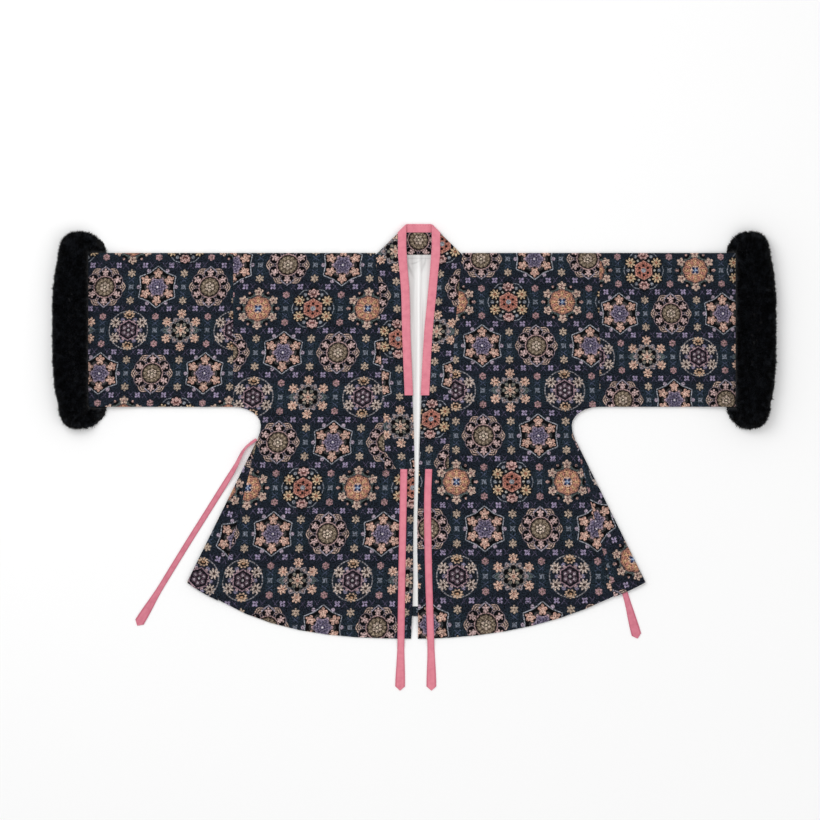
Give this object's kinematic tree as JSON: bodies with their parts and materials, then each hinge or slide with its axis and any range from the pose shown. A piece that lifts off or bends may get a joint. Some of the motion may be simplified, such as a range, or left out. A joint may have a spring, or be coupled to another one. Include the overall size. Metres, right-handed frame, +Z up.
{
  "type": "hanfu jacket",
  "caption": "Straight-collared hanfu jacket in dark patterned brocade with black fur cuffs, pink collar binding and ribbon ties, laid open and flat, face up.",
  "frame": {"origin": "middle of the bounding box, at the surface the jacket lies on", "axes": "+X along the sleeves to the right of the picture, +Y towards the neck, +Z up from the surface"},
  "size_m": [1.412, 0.9098, 0.0461],
  "materials": {
    "brocade": "dark navy brocade with woven flowers",
    "pink_satin": "satin",
    "lining": "smooth white lining",
    "fur": "black plush pile"
  },
  "bodies": {
    "root": {"body_left": "brocade", "body_right": "brocade", "gore_front_left": "brocade", "gore_front_right": "brocade", "gore_back_left": "brocade", "gore_back_right": "brocade", "sleeve_left": "brocade", "sleeve_right": "brocade", "collar_band": "brocade", "collar_binding": "pink_satin", "back_lining": "lining", "back_hem_facing": "brocade", "front_tie_left": "pink_satin", "front_tie_right": "pink_satin", "side_tie_left": "pink_satin", "side_tie_right": "pink_satin", "fur_cuff_left": "fur", "fur_cuff_right": "fur"}
  },
  "joints": []
}
